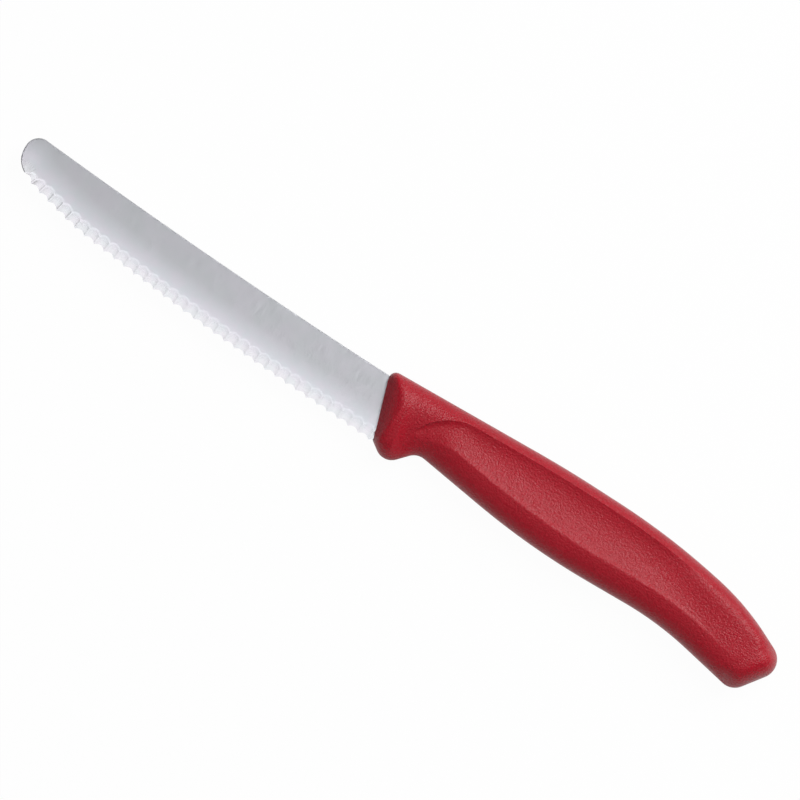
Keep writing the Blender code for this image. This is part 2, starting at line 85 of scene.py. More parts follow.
HANDLE_LENGTH = 0.1181
FRONT_SLANT = 20.5
BUTT_SLANT = 33.5
BACK_AT_FRONT = 0.0084
LIP_THICKNESS = 0.0032
COLLAR_CROWN = 0.0066
PALM_CROWN = 0.0068
BUTT_CROWN = 0.0066
PALM_AT = 0.45
PALM_END = 0.60
CHAMFER_LENGTH = 0.0062
CHAMFER_FULLNESS = 2.2
BUTT_ROUND = 0.0050
BACK_ROUNDS = (0.0105, 0.0074, 0.0030)
BACK_FULLNESS = 2.6
BELLY_ROUNDS = (0.0155, 0.0126, 0.0085)
BELLY_FULLNESS = (2.4, 1.35)
LIP_ROUND = 0.0008
COLLAR_REACH = 0.0080
GUARD_DROP = 0.0122
GUARD_RADIUS = 0.0040
NOTCH_RADIUS = 0.0040
CREASE_DROP = 0.0023
RIDGE_RISE = 0.0063
RIDGE_AT_START = 0.45
RIDGE_RUN = 0.0130
PANEL_START = 0.0094
PANEL_SLOPE = 0.14
PANEL_LEAST_REACH = 0.0120
PANEL_SKEW = 2.0
PANEL_ARC_RADIUS = 0.0130
CREASE_FADE_IN = 0.0030
RIDGE_FADE_IN = 0.0200
CREASE_FADE_OUT = (0.0750, 0.0990)
RIDGE_FADE_OUT = (0.0870, 0.1120)
BACK_LINE = (
    (0.398, 0.0124, 0.290),
    (0.648, 0.01315, 0.180),
    (0.865, 0.0098, 0.067),
)
BELLY_LINE = (
    (0.425, -0.0089, 0.196),
    (0.736, -0.0063, 0.084),
)
GUARD_AT = 0.0084
NOTCH_AT = 0.0142
NOTCH_DROP = 0.0053
FRONT_DROP = 0.0090
GUARD_CORNERS = 2             # corners of the lower outline in front of the finger notch
FRONT_RADII = (0.0019, 0.0015)
BUTT_TOP = 0.0023
BUTT_BOTTOM = -0.0101
BUTT_RADII = (0.0048, 0.0045)
COLLAR_END = 0.26
BUTT_FROM = 0.66
BEYOND_BUTT = 0.030

# Grids of the two pieces.
FRONT_STATIONS = 64
BODY_STATIONS = 120
BUTT_STATIONS = 52
FRONT_ZONE = 0.16
BUTT_ZONE = 0.88
STATION_CROWDING = 1.6
BACK_ROWS = 22
PANEL_ROWS = 36
BELLY_ROWS = 32
LEAST_CREASE = 0.06
LEAST_RIDGE = 0.36
LEAST_PANEL = 0.12
SEARCH_STEPS = 600
HARD_CREASE = 0.3             # share of the panel's depth from which its upper edge is crisp
RIDGE_ROUNDING = 0.11         # share of the panel's height in which its lower edge is rounded

NOSE_COLUMNS = 96
WAVE_COLUMNS = 14             # across one tooth
HEEL_COLUMNS = 6
TANG_COLUMNS = 24
CUT_ROWS = 11                 # from the edge to the top of the hollow ground waves
ABOVE_CUT_ROWS = 3
FACE_ROWS = 11
EDGE_REACH = 0.0042           # height of the band in which columns stand square to the edge
SPINE_BEVEL = 0.00026         # width of the broken corner along the spine
SPINE_BEVEL_DROP = 0.00018
LEAST_CUT = 0.0012            # room for the cut's rows where little is cut
CUT_CROWDING = 1.3            # the cut's rows crowd towards the edge by this power
NOSE_EVENNESS = 0.5           # 1 spaces the nose's columns evenly, less crowds them to its ends
LEAD_COLUMNS = 4              # in front of the first tooth
INNER_SHARE = 0.25            # height of the inner points off the edge, as a share of the blade's
BEVEL_TRIAL = 0.1             # share of a column on which its slant to the spine is measured
MOST_BEVEL = 0.4              # share of a column that the broken corner may take
MERGE_DISTANCE = 2e-6
DEGENERATE_LENGTH = 1e-7
CUT_RUN_IN = 0.0080           # length along the edge in which the hollows reach full depth
BOX_MARGIN = 0.000001         # how far each piece stays inside its node's box

# Photograph: 800 x 800, the knife lies at this angle, seen straight from above.
PHOTO_WIDTH = 0.198           # what the photograph's width spans at the knife
KNIFE_ANGLE = 34.3            # degrees below the horizontal of the photograph
PHOTO_CENTRE = (0.11195, 0.00324)   # in the drawing's x and y
LENS = 300.0
SENSOR = 36.0

# Red plastic. Noise scales are in 1/m, depths in m.
NOISE_RANGE = (0.3, 0.7)      # where nearly all of a noise's values lie
GRAIN_SCALE = 1900.0
GRAIN_HOLLOWS = (0.32, 0.60)  # from the bottom of a hollow to the plain surface
GRAIN_DEPTH = 0.00024
FINE_SCALE = 4200.0
FINE_STRENGTH = 0.5
FINE_DEPTH = 0.000012
DRIFT_SCALE = 60.0
RED = ((0.398, 0.005, 0.017), (0.425, 0.006, 0.020))
# painted shade: the red is darker in the hollows of the grain, following the bump's height
RED_SHADE_IN_HOLLOWS = (0.348, 0.004, 0.013)
RED_ROUGHNESS = (0.30, 0.40)
RED_SPECULAR = 0.32

# Steel. The grind's lines run across the blade. Bands go by nearness to the edge, from 0 to 1.
LINE_SCALE = (6000.0, 300.0, 300.0)
LINE_DEPTH = 0.000008
CLOUD_SCALE = 160.0
CLOUD_RANGE = (0.35, 0.65)
PATCH_SCALE = 330.0
PATCH_RANGE = (0.40, 0.60)
PATCH_DEPTH = 0.00004
STEEL_BUMP = 0.10
# Towards the edge the steel is painted lighter: partly the grind's finish, partly painted reflection.
GROUND_AND_REFLECTION_BAND = (0.10, 0.60)
FRESH_AND_REFLECTION_BAND = (0.65, 0.85)
STEEL_FLAT = ((0.785, 0.806, 0.843), (0.818, 0.813, 0.870))
STEEL_GROUND_AND_REFLECTION = ((0.900, 0.925, 0.985), (0.935, 0.920, 0.998))
STEEL_FRESH_AND_REFLECTION = ((0.940, 0.955, 0.992), (0.965, 0.945, 0.998))
STEEL_ROUGHNESS = (0.28, 0.34)
FRESH_POLISH = 0.75           # share of that roughness left in the hollow ground waves

# Studio.
KEY_LAMP = ((0.28, 0.65, 0.88), (0.6, 0.9), 13.4)        # place, size and power
FILL_LAMP = ((-0.03, -0.35, 0.95), (1.3, 0.60), 2.3)
FLOOR_REACH = 4.0
FLOOR_GREY = 0.82
FLOOR_WHITENED = 0.97         # share of white in the floor where it is seen, the rest keeps shadows
FAR_CLIP = 20.0
WHITE = (1.0, 1.0, 1.0, 1.0)
AMBIENT = 0.04
BACKDROP_TOP = (0.10, 0.40)   # sines of the heights between which the backdrop fades


def front_x(y, behind=0.0):
    """Place along x of the handle's slanted front line, or of a line a given depth behind it."""
    return BLADE_LENGTH + behind - y * math.tan(math.radians(FRONT_SLANT))


def butt_x(y):
    """Place along x of the handle's slanted butt line."""
    return BLADE_LENGTH + HANDLE_LENGTH + y * math.tan(math.radians(BUTT_SLANT))


def rounded(corners):
    """Round a counter-clockwise polygon of (x, y, radius). One list of points for each corner."""
    count = len(corners)
    points = [Vector(corner[:2]) for corner in corners]
    ways = [(points[(i + 1) % count] - points[i]).normalized() for i in range(count)]
    turns = [ways[i - 1].cross(ways[i]) for i in range(count)]
    bends = [math.acos(max(-1.0, min(1.0, ways[i - 1].dot(ways[i])))) for i in range(count)]
    reach = [corner[2] * math.tan(bend / 2) for corner, bend in zip(corners, bends)]
    limits = [1.0] * count
    for i in range(count):
        after = (i + 1) % count
        room = (points[after] - points[i]).length / max(reach[i] + reach[after], 1e-9)
        limits[i] = min(limits[i], room)
        limits[after] = min(limits[after], room)
    arcs = []
    for i in range(count):
        radius = corners[i][2] * limits[i]
        if radius < CHORD_ERROR:
            arcs.append([points[i]])
            continue
        sign = 1.0 if turns[i] > 0 else -1.0
        start = points[i] - ways[i - 1] * reach[i] * limits[i]
        centre = start + Vector((-ways[i - 1].y, ways[i - 1].x)) * sign * radius
        chords = math.ceil(bends[i] / (2 * math.acos(1 - CHORD_ERROR / radius)))
        arm = start - centre
        arc = []
        for step in range(chords + 1):
            angle = sign * bends[i] * step / chords
            arc.append(centre + Vector((
                arm.x * math.cos(angle) - arm.y * math.sin(angle),
                arm.x * math.sin(angle) + arm.y * math.cos(angle),
            )))
        arcs.append(arc)
    return arcs


def joined(arcs):
    """All the points of the arcs in a row, each place once."""
    points = []
    for point in [point for arc in arcs for point in arc]:
        if not points or (point - points[-1]).length > CHORD_ERROR:
            points.append(point)
    return points


def smooth(amount):
    amount = np.clip(amount, 0.0, 1.0)
    return amount * amount * (3 - 2 * amount)


def between(ends, share):
    return ends[0] + (ends[1] - ends[0]) * share


def rise(amount, fullness=2.0):
    """Rise from 0 to 1 like the quarter of an ellipse, or fuller with more fullness."""
    amount = np.clip(amount, 0.0, 1.0)
    return (1 - (1 - amount) ** fullness) ** (1 / fullness)


def walk(path, distances):
    """Points at the given distances along a path of straight steps."""
    path = np.array([tuple(point) for point in path])
    steps = np.hypot(*np.diff(path, axis=0).T)
    along = np.concatenate(([0.0], np.cumsum(steps)))
    distances = np.asarray(distances)
    return np.stack([np.interp(distances, along, path[:, axis]) for axis in (0, 1)], axis=1)


def path_length(path):
    return sum((after - before).length for before, after in zip(path, path[1:]))


def distance(path, x, y):
    """Distance of points to a path of straight steps."""
    points = np.stack([np.ravel(x), np.ravel(y)], axis=1)
    path = np.array([tuple(point) for point in path])
    best = np.full(len(points), np.inf)
    for start, step in zip(path[:-1], np.diff(path, axis=0)):
        gaps = points - start
        shares = np.clip(gaps @ step / (step @ step), 0.0, 1.0)
        nearest = gaps - shares[:, None] * step
        best = np.minimum(best, (nearest ** 2).sum(axis=1))
    return np.sqrt(best).reshape(np.shape(x))


def blade_corners():
    """Blade and tang in one outline, from the nose along the edge, the tang and the spine."""
    edge = [(share * BLADE_LENGTH, -drop * EDGE_DROP, radius) for share, drop, radius in EDGE_LINE]
    tang_end = BLADE_LENGTH + TANG_LENGTH
    return edge + [
        (front_x(-EDGE_AT_HEEL) - HEEL_TRIM, -EDGE_AT_HEEL, 0.0),
        (front_x(-HEEL_BOTTOM, HEEL_DEPTH), -HEEL_BOTTOM, 0.0),
        (front_x(-TANG_BOTTOM_AT_ROOT, HEEL_DEPTH), -TANG_BOTTOM_AT_ROOT, TANG_ROOT_RADIUS),
        (tang_end, -TANG_BOTTOM_AT_END, TANG_END_RADIUS),
        (tang_end, TANG_TOP_AT_END, TANG_END_RADIUS),
        (front_x(SPINE_AT_HEEL, HEEL_DEPTH), SPINE_AT_HEEL, 0.0),
        (SPINE_BEND_AT * BLADE_LENGTH, SPINE_AT_BEND, SPINE_RADIUS),
        (0.0, SPINE_AT_TIP, NOSE_RADIUS),
    ]


def lower_corners():
    """Side outline of the handle from the front line round the guard and along the belly."""
    belly = [(BLADE_LENGTH + share * HANDLE_LENGTH, y, radius) for share, y, radius in BELLY_LINE]
    return [
        (front_x(-FRONT_DROP), -FRONT_DROP, FRONT_RADII[1]),
        (BLADE_LENGTH + GUARD_AT, -GUARD_DROP, GUARD_RADIUS),
        (BLADE_LENGTH + NOTCH_AT, -NOTCH_DROP, NOTCH_RADIUS),
        *belly,
        (butt_x(BUTT_BOTTOM), BUTT_BOTTOM, BUTT_RADII[1]),
    ]


def upper_corners():
    """Side outline of the handle from the butt line along the back to the front line."""
    back = [(BLADE_LENGTH + share * HANDLE_LENGTH, y, radius) for share, y, radius in BACK_LINE]
    return [
        (butt_x(BUTT_TOP), BUTT_TOP, BUTT_RADII[0]),
        *reversed(back),
        (front_x(BACK_AT_FRONT), BACK_AT_FRONT, FRONT_RADII[0]),
    ]


def extended(path, corner):
    """A path carried straight on past the corner that ends it."""
    ahead = (corner[0] - path[-1]).normalized()
    return path + [corner[0], corner[0] + ahead * BEYOND_BUTT]


class HandleForm:
    """Half width of the handle over its side outline."""

    def __init__(self):
        lower = lower_corners()
        arcs = rounded(lower + upper_corners())
        self.belly = joined(arcs[:len(lower)])
        self.back = joined(arcs[len(lower):])[::-1]
        self.butt = joined([arcs[len(lower) - 1], arcs[len(lower)]])
        self.long_belly = extended(joined(arcs[:len(lower) - 1]), arcs[len(lower) - 1])
        self.long_back = extended(joined(arcs[len(lower) + 1:])[::-1], arcs[len(lower)][::-1])
        from_notch = arcs[GUARD_CORNERS:len(lower)]
        after_notch = joined(from_notch)[len(from_notch[0]) - 1:]
        self.belly_line = np.array([tuple(point) for point in after_notch])
        self.back_line = np.array([tuple(point) for point in self.back])
        self.front_lean = math.radians(FRONT_SLANT)

    def crease(self, x):
        """Upper edge of the hollow panel: along the back, turning down to the front in an arc."""
        below_back = np.interp(x, *self.back_line.T) - CREASE_DROP
        arc = rise((x - BLADE_LENGTH - PANEL_START) / PANEL_ARC_RADIUS) - 1
        return below_back + PANEL_ARC_RADIUS * arc

    def ridge(self, x):
        """Lower edge of the hollow panel, along the belly and lower at the front."""
        begun = smooth((x - BLADE_LENGTH - PANEL_START) / RIDGE_RUN)
        rise_here = RIDGE_RISE * (RIDGE_AT_START + (1 - RIDGE_AT_START) * begun)
        return np.interp(x, *self.belly_line.T) + rise_here

    def plain(self, x, y):
        """The rounded body without its panel."""
        behind = (x - front_x(y)) * math.cos(self.front_lean)
        along = (x - BLADE_LENGTH) / HANDLE_LENGTH
        crown = COLLAR_CROWN + (PALM_CROWN - COLLAR_CROWN) * smooth(along / PALM_AT)
        crown = crown + (BUTT_CROWN - PALM_CROWN) * smooth((along - PALM_END) / (1 - PALM_END))
        opening = smooth(behind / COLLAR_REACH)
        to_butt = smooth((along - BUTT_FROM) / (1 - BUTT_FROM))
        collar_left = 1 - smooth(along / COLLAR_END)
        back_reach, belly_reach = [
            between((LIP_ROUND, between(rest, to_butt) + (collar - rest[0]) * collar_left), opening)
            for collar, *rest in (BACK_ROUNDS, BELLY_ROUNDS)
        ]
        back = rise(distance(self.long_back, x, y) / back_reach, BACK_FULLNESS)
        fullness = between(BELLY_FULLNESS, collar_left)
        belly = rise(distance(self.long_belly, x, y) / belly_reach, fullness)
        butt = rise(distance(self.butt, x, y) / BUTT_ROUND)
        lip = LIP_THICKNESS / 2 / COLLAR_CROWN
        left = 1 - np.clip(behind / CHAMFER_LENGTH, 0.0, 1.0)
        chamfer = lip + (1 - lip) * (1 - left ** CHAMFER_FULLNESS)
        return crown * back * belly * chamfer * butt

    def fades(self, x):
        """Shares of the hollow panel's full depth at its upper and its lower edge."""
        into = x - BLADE_LENGTH
        ways = ((CREASE_FADE_IN, CREASE_FADE_OUT), (RIDGE_FADE_IN, RIDGE_FADE_OUT))
        return [
            smooth((into - PANEL_START) / fade_in) * (1 - smooth((into - end) / (gone - end)))
            for fade_in, (end, gone) in ways
        ]

    def half_width(self, x, y):
        upper = self.crease(x)
        lower = self.ridge(x)
        height = np.maximum(upper - lower, CHORD_ERROR)
        share = np.clip((upper - y) / height, 0.0, 1.0)
        inside = (upper > lower) & (x > BLADE_LENGTH + PANEL_START)
        flat = self.plain(x, upper) * (1 - share) + self.plain(x, lower) * share
        depth = PANEL_SLOPE * np.hypot(height, PANEL_LEAST_REACH)
        panel = flat - depth * (1 - share) * (1 - (1 - share) ** PANEL_SKEW)
        body = self.plain(x, y)
        hollow = np.where(inside & (y < upper) & (y > lower), body - panel, 0.0)
        rounding = smooth((1 - share) / RIDGE_ROUNDING)
        return body - np.maximum(hollow, 0.0) * between(self.fades(x), share) * rounding


def station_shares():
    """Places of the cross sections along the outline, closer together at both ends."""
    front = FRONT_ZONE * (np.arange(FRONT_STATIONS) / FRONT_STATIONS) ** STATION_CROWDING
    body = np.linspace(FRONT_ZONE, BUTT_ZONE, BODY_STATIONS, endpoint=False)
    left = np.arange(BUTT_STATIONS, -1, -1) / BUTT_STATIONS
    butt = 1 - (1 - BUTT_ZONE) * left ** STATION_CROWDING
    return np.concatenate((front, body, butt))


def section_points(form):
    """Plan points of each cross section, back to belly, with one row along each panel edge."""
    along = station_shares()
    tops = walk(form.back, along * path_length(form.back))
    bottoms = walk(form.belly, along * path_length(form.belly))
    shares = np.linspace(0.0, 1.0, SEARCH_STEPS + 1)
    near_back = 1 - np.cos(np.pi / 2 * np.arange(BACK_ROWS) / BACK_ROWS)
    near_belly = np.sin(np.pi / 2 * np.arange(BELLY_ROWS + 1) / BELLY_ROWS)
    sections = []
    for top, bottom in zip(tops, bottoms):
        x, y = (top + (bottom - top) * shares[:, None]).T
        ridge = max(np.interp(0.0, form.ridge(x) - y, shares), LEAST_RIDGE)
        crease = np.interp(0.0, form.crease(x) - y, shares)
        crease = np.clip(crease, LEAST_CREASE, ridge - LEAST_PANEL)
        rows = np.concatenate((
            crease * near_back,
            np.linspace(crease, ridge, PANEL_ROWS, endpoint=False),
            ridge + (1 - ridge) * near_belly,
        ))
        sections.append(top + (bottom - top) * rows[:, None])
    return np.array(sections)


def piece_from(name, shape, replaced):
    """Make a smooth shaded object of a bmesh, laid into the box of the CAD node it replaces."""
    for face in shape.faces:
        face.smooth = True
    bmesh.ops.recalc_face_normals(shape, faces=shape.faces)
    low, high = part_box(replaced)
    for axis in range(3):
        places = [vert.co[axis] for vert in shape.verts]
        span = (min(places), max(places))
        goal = (low[axis] + BOX_MARGIN, high[axis] - BOX_MARGIN)
        for vert in shape.verts:
            vert.co[axis] = np.interp(vert.co[axis], span, goal)
    mesh = bpy.data.meshes.new(name)
    shape.to_mesh(mesh)
    shape.free()
    piece = bpy.data.objects.new(name, mesh)
    bpy.context.scene.collection.objects.link(piece)
    return piece


def make_handle(form):
    """The moulded body: two like halves over one outline."""
    plan = section_points(form)
    width = form.half_width(plan[:, :, 0], plan[:, :, 1])
    stations = len(plan)
    rows = BACK_ROWS + PANEL_ROWS + BELLY_ROWS
    shape = bmesh.new()
    grid = {}
    for i in range(stations):
        for j in range(rows + 1):
            on_outline = j in (0, rows) or i == stations - 1
            x, y = plan[i, j]
            z = 0.0 if on_outline else width[i, j]
            grid[i, j, 1] = shape.verts.new((x, y, z))
            grid[i, j, -1] = grid[i, j, 1] if on_outline else shape.verts.new((x, y, -z))
    for side in (1, -1):
        for i in range(stations - 1):
            for j in range(rows):
                near = (grid[i, j, side], grid[i, j + 1, side])
                far = (grid[i + 1, j + 1, side], grid[i + 1, j, side])
                shape.faces.new(near + far)
    for j in range(rows):
        rim = (grid[0, j, 1], grid[0, j + 1, 1], grid[0, j + 1, -1], grid[0, j, -1])
        shape.faces.new(list(dict.fromkeys(rim)))
    crease_fade = form.fades(plan[:, BACK_ROWS, 0])[0]
    for i in range(stations - 2):
        for side in (1, -1):
            edge = shape.edges.get((grid[i, BACK_ROWS, side], grid[i + 1, BACK_ROWS, side]))
            edge.smooth = bool(crease_fade[i] < HARD_CREASE)
    return piece_from("handle_shell", shape, "handle")


def blade_columns():
    """Columns of the blade's grid and the lines that they follow.

    Lower and upper point of each column, its place along the edge (under 0 on the nose, over the
    edge's length behind it), the edge, the upper half of the nose, and the spine."""
    arcs = rounded(blade_corners())
    start = (arcs[-1][-1] + arcs[0][0]) / 2
    nose_low = [start] + arcs[0]
    nose_high = [start] + arcs[-1][::-1]
    tips = joined(arcs[:len(EDGE_LINE) + 1])[len(arcs[0]) - 1:]
    spine = np.array([tuple(point) for point in [arcs[-1][0]] + arcs[-2][::-1] + arcs[-3]])
    spine = spine[np.argsort(spine[:, 0])]
    # Nose, from the foremost point to the end of its round.
    even = np.arange(NOSE_COLUMNS) / NOSE_COLUMNS
    shares = smooth(even) * (1 - NOSE_EVENNESS) + even * NOSE_EVENNESS
    base = [walk(nose_low, shares * path_length(nose_low))]
    upper = [walk(nose_high, shares * path_length(nose_high))]
    place = [np.full(NOSE_COLUMNS, -1.0)]
    # Edge, with the tips of the teeth on columns.
    total = path_length(tips)
    step = TOOTH_PITCH / WAVE_COLUMNS
    lead = np.linspace(0.0, FIRST_TOOTH, LEAD_COLUMNS, endpoint=False)
    rest = np.arange(math.floor((total - FIRST_TOOTH) / step) + 1) * step + FIRST_TOOTH
    along = np.concatenate((lead, rest, [total]))
    base.append(walk(tips, along))
    high_x = spine[0, 0] + (front_x(SPINE_AT_HEEL) - spine[0, 0]) * along / total
    upper.append(np.stack([high_x, np.interp(high_x, *spine.T)], axis=1))
    place.append(along)
    # Heel and tang, inside the handle.
    heel_at = len(EDGE_LINE)
    heel = [arcs[heel_at][0], arcs[heel_at + 1][0]]
    heel_places = np.arange(1, HEEL_COLUMNS + 1) / HEEL_COLUMNS
    base.append(walk(heel, heel_places * path_length(heel)))
    high_x = front_x(SPINE_AT_HEEL) + heel_places * HEEL_DEPTH / 2
    upper.append(np.stack([high_x, np.interp(high_x, *spine.T)], axis=1))
    low_tail = joined(arcs[heel_at + 1:heel_at + 4])
    high_tail = [Vector(upper[-1][-1])] + joined([arcs[-3], arcs[-4][::-1]])
    tail_places = np.arange(1, TANG_COLUMNS + 1) / TANG_COLUMNS
    base.append(walk(low_tail, tail_places * path_length(low_tail)))
    upper.append(walk(high_tail, tail_places * path_length(high_tail)))
    place.append(np.full(HEEL_COLUMNS + TANG_COLUMNS, total + 1.0))
    columns = [np.concatenate(part) for part in (base, upper, place)]
    return *columns, tips, nose_high, spine


def sheet_thickness(x):
    return TIP_THICKNESS + (BLADE_THICKNESS - TIP_THICKNESS) * np.clip(x / BLADE_LENGTH, 0, 1)


def make_blade():
    """Sheet steel, convex ground towards an edge of hollow ground waves."""
    base, upper, place, tips, nose_high, spine = blade_columns()
    total = path_length(tips)
    count = len(base)
    on_edge = (place >= 0) & (place <= total)
    ways = np.zeros_like(base)
    half = TOOTH_PITCH / 2
    edge_places = place[on_edge]
    along = walk(tips, edge_places + half) - walk(tips, edge_places - half)
    along /= np.hypot(*along.T)[:, None]
    ways[on_edge] = np.stack([-along[:, 1], along[:, 0]], axis=1)
    chord_inner = base + (upper - base) * INNER_SHARE
    inner = chord_inner.copy()
    inner[on_edge] = base[on_edge] + ways[on_edge] * EDGE_REACH
    # The nose's inner points swing round to the first column of the edge.
    first = int(np.argmax(on_edge))
    turn = smooth(np.arange(first) / first)[:, None]
    aim = inner[first] - base[first]
    inner[:first] = chord_inner[:first] * (1 - turn) + (base[:first] + aim) * turn
    last = first + int(on_edge.sum())
    back_turn = smooth(np.arange(1, HEEL_COLUMNS + 1) / HEEL_COLUMNS)[:, None]
    heel_rows = slice(last, last + HEEL_COLUMNS)
    aim = inner[last - 1] - base[last - 1]
    inner[heel_rows] = (base[heel_rows] + aim) * (1 - back_turn) + chord_inner[heel_rows] * back_turn

    across = ((place - FIRST_TOOTH) / TOOTH_PITCH) % 1.0
    toothed = on_edge & (place >= FIRST_TOOTH)
    notch = np.where(toothed, TOOTH_DEPTH * (1 - (2 * across - 1) ** 2), 0.0)
    # The hollows start from nothing at the first tooth.
    uncut = np.where(on_edge, np.clip(1 - (place - FIRST_TOOTH) / CUT_RUN_IN, 0, 1), 1.0)
    lift = EDGE_THICKNESS * uncut ** 2
    before_teeth = np.where(on_edge, np.clip(1 - place / FIRST_TOOTH, 0, 1), 1.0)
    slope = math.tan(math.radians(TOOTH_BEVEL))
    deep = (sheet_thickness(base[:, 0]) - EDGE_THICKNESS) / 2
    # Where the wave's tilted hollow meets the convex grind.
    a = deep / GRIND_WIDTH ** 2
    b = slope - 2 * deep / GRIND_WIDTH
    c = lift - slope * notch - EDGE_THICKNESS
    top_of_cut = np.maximum((-b + np.sqrt(b * b - 4 * a * c)) / (2 * a), LEAST_CUT)

    cut_steps = (np.arange(CUT_ROWS) / CUT_ROWS) ** CUT_CROWDING
    above_steps = np.arange(ABOVE_CUT_ROWS) / ABOVE_CUT_ROWS
    face_steps = np.arange(FACE_ROWS + 1) / FACE_ROWS
    rows = CUT_ROWS + ABOVE_CUT_ROWS + FACE_ROWS + 1
    ridge_line = list(nose_high) + [Vector(point) for point in spine[1:]]
    # Share of each column where the broken corner along the spine starts.
    trial = upper + (inner - upper) * BEVEL_TRIAL
    clear = np.maximum(distance(ridge_line, trial[:, 0], trial[:, 1]), CHORD_ERROR)
    bevel_from = 1 - np.minimum(BEVEL_TRIAL * SPINE_BEVEL / clear, MOST_BEVEL)
    plan = np.zeros((count, rows + 1, 2))
    reach = np.zeros((count, rows + 1))
    for i in range(count):
        cut = notch[i] + (top_of_cut[i] - notch[i]) * cut_steps
        above = top_of_cut[i] + (EDGE_REACH - top_of_cut[i]) * above_steps
        low = np.concatenate((cut, above)) / EDGE_REACH
        high = np.concatenate((face_steps * bevel_from[i], [1.0]))
        plan[i, :len(low)] = base[i] + (inner[i] - base[i]) * low[:, None]
        plan[i, len(low):] = inner[i] + (upper[i] - inner[i]) * high[:, None]
        reach[i, :len(low)] = low * EDGE_REACH
    x, y = plan[:, :, 0], plan[:, :, 1]
    depth = distance(tips, x, y)
    whole = sheet_thickness(x)
    band = np.clip(depth / GRIND_WIDTH, 0, 1)
    ground = EDGE_THICKNESS / 2 + (whole - EDGE_THICKNESS) / 2 * (1 - (1 - band) ** 2)
    # The corner is broken along spine and nose, as far as the first tooth.
    nose_line = [Vector(point) for point in base[:first + 1]]
    broken = 1 - np.clip(distance(ridge_line, x, y) / SPINE_BEVEL, 0, 1)
    nose_broken = 1 - np.clip(distance(nose_line, x, y) / SPINE_BEVEL, 0, 1)
    ground = ground - SPINE_BEVEL_DROP * np.maximum(broken, nose_broken * before_teeth[:, None])
    left = ground.copy()
    hollow = slope * (reach - notch[:, None]) + lift[:, None] - EDGE_THICKNESS / 2
    cut_part = slice(0, CUT_ROWS + 1)
    left[:, cut_part] = np.minimum(left[:, cut_part], hollow[:, cut_part])

    shape = bmesh.new()
    near_edge = shape.verts.layers.float.new("near_edge")
    sides = []
    for heights in (left, -ground):
        grid = [
            [shape.verts.new((*plan[i, j], heights[i, j])) for j in range(rows + 1)]
            for i in range(count)
        ]
        sides.append(grid)
        for i in range(count):
            for j in range(rows + 1):
                grid[i][j][near_edge] = float(1 - band[i, j])
        for i in range(count - 1):
            for j in range(rows):
                shape.faces.new((grid[i][j], grid[i + 1][j], grid[i + 1][j + 1], grid[i][j + 1]))
    one, two = sides
    for i in range(count - 1):
        for j in (0, rows):
            shape.faces.new((one[i][j], one[i + 1][j], two[i + 1][j], two[i][j]))
    for i in (0, count - 1):
        for j in range(rows):
            shape.faces.new((one[i][j], one[i][j + 1], two[i][j + 1], two[i][j]))
    ridges = [
        (grid[i][j], grid[i + 1][j])
        for grid in sides for i in range(count - 1) for j in (0, rows - 1, rows)
    ]
    for ends in ridges:
        shape.edges.get(ends).smooth = False
    bmesh.ops.remove_doubles(shape, verts=shape.verts, dist=MERGE_DISTANCE)
    bmesh.ops.dissolve_degenerate(shape, edges=shape.edges, dist=DEGENERATE_LENGTH)
    return piece_from("blade_steel_sheet", shape, "blade")


def new_material(name):
    material = bpy.data.materials.new(name)
    material.use_nodes = True
    tree = material.node_tree
    return material, tree, tree.nodes["Principled BSDF"]


def node(tree, kind, **inputs):
    made = tree.nodes.new(kind)
    for key, value in inputs.items():
        made.inputs[key.replace("_", " ")].default_value = value
    return made


def noise(tree, vector, scale, detail=2.0, roughness=0.5):
    made = node(tree, "ShaderNodeTexNoise", Scale=scale, Detail=detail, Roughness=roughness)
    tree.links.new(vector, made.inputs["Vector"])
    return made.outputs["Fac"]


def ramp(tree, value, low, high, out_low=0.0, out_high=1.0):
    """Map low..high of a value onto out_low..out_high, held at both ends."""
    made = tree.nodes.new("ShaderNodeMapRange")
    made.inputs["From Min"].default_value = low
    made.inputs["From Max"].default_value = high
    made.inputs["To Min"].default_value = out_low
    made.inputs["To Max"].default_value = out_high
    tree.links.new(value, made.inputs["Value"])
    return made.outputs["Result"]


def blend(tree, share, first, second):
    """Mix of two colours. Each is a colour or a socket."""
    made = tree.nodes.new("ShaderNodeMix")
    made.data_type = "RGBA"
    tree.links.new(share, made.inputs["Factor"])
    for socket, colour in ((made.inputs[6], first), (made.inputs[7], second)):
        if isinstance(colour, tuple):
            socket.default_value = (*colour, 1.0)
        else:
            tree.links.new(colour, socket)
    return made.outputs[2]


def bump(tree, height, strength, depth, under=None):
    made = node(tree, "ShaderNodeBump", Strength=strength, Distance=depth)
    tree.links.new(height, made.inputs["Height"])
    if under is not None:
        tree.links.new(under, made.inputs["Normal"])
    return made.outputs["Normal"]


def maths(tree, operation, first, second):
    """Result of two values. Each is a number or a socket."""
    made = tree.nodes.new("ShaderNodeMath")
    made.operation = operation
    for socket, value in zip(made.inputs, (first, second)):
        if isinstance(value, float):
            socket.default_value = value
        else:
            tree.links.new(value, socket)
    return made.outputs[0]


def seen_directly(tree):
    """1 where the camera, a reflection or a see-through ray meets it, otherwise 0."""
    path = tree.nodes.new("ShaderNodeLightPath").outputs
    seen = maths(tree, "MAXIMUM", path["Is Camera Ray"], path["Is Glossy Ray"])
    return maths(tree, "MAXIMUM", seen, path["Is Transmission Ray"])


